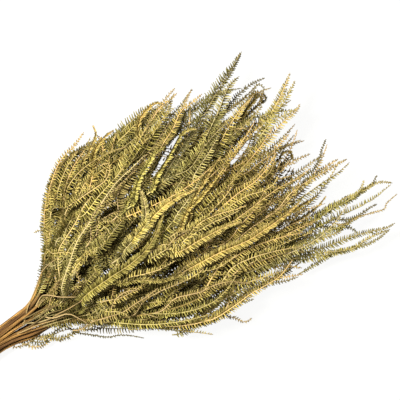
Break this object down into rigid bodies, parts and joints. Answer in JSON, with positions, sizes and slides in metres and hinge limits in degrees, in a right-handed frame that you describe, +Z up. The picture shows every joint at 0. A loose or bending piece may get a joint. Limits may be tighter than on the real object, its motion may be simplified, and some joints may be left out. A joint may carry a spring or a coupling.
{
  "type": "dried grevillea leaf bunch",
  "caption": "Bunch of dried grevillea: comb-like olive and ochre fronds on brown stems that fan out from a twine tie near the cut ends. It lies flat on a surface.",
  "frame": {"origin": "middle of the bunch's box, at the surface that it lies on", "axes": "+X along the bunch, from the cut ends to the leaf tips; +Y towards the rounded shoulder of the fan; +Z up"},
  "size_m": [0.6432, 0.2968, 0.1096],
  "materials": {
    "olive_leaf": "dry olive-green leaf, matt",
    "moss_leaf": "dry moss-green leaf, matt",
    "straw_leaf": "dry straw-coloured leaf, slight sheen",
    "ochre_leaf": "dry ochre leaf, slight sheen",
    "twine": "plain rough plant-fibre twine"
  },
  "bodies": {
    "root": {"leafy_stem_01": "moss_leaf", "leafy_stem_02": "straw_leaf", "leafy_stem_03": "ochre_leaf", "leafy_stem_04": "olive_leaf", "leafy_stem_05": "moss_leaf", "leafy_stem_06": "straw_leaf", "leafy_stem_07": "ochre_leaf", "leafy_stem_08": "olive_leaf", "leafy_stem_09": "moss_leaf", "leafy_stem_10": "straw_leaf", "leafy_stem_11": "ochre_leaf", "leafy_stem_12": "olive_leaf", "leafy_stem_13": "moss_leaf", "leafy_stem_14": "straw_leaf", "leafy_stem_15": "ochre_leaf", "leafy_stem_16": "olive_leaf", "leafy_stem_17": "moss_leaf", "leafy_stem_18": "straw_leaf", "leafy_stem_19": "ochre_leaf", "leafy_stem_20": "olive_leaf", "leafy_stem_21": "moss_leaf", "leafy_stem_22": "straw_leaf", "leafy_stem_23": "ochre_leaf", "leafy_stem_24": "olive_leaf", "leafy_stem_25": "moss_leaf", "leafy_stem_26": "straw_leaf", "leafy_stem_27": "ochre_leaf", "leafy_stem_28": "olive_leaf", "leafy_stem_29": "moss_leaf", "leafy_stem_30": "straw_leaf", "leafy_stem_31": "ochre_leaf", "twine_tie": "twine"}
  },
  "joints": []
}
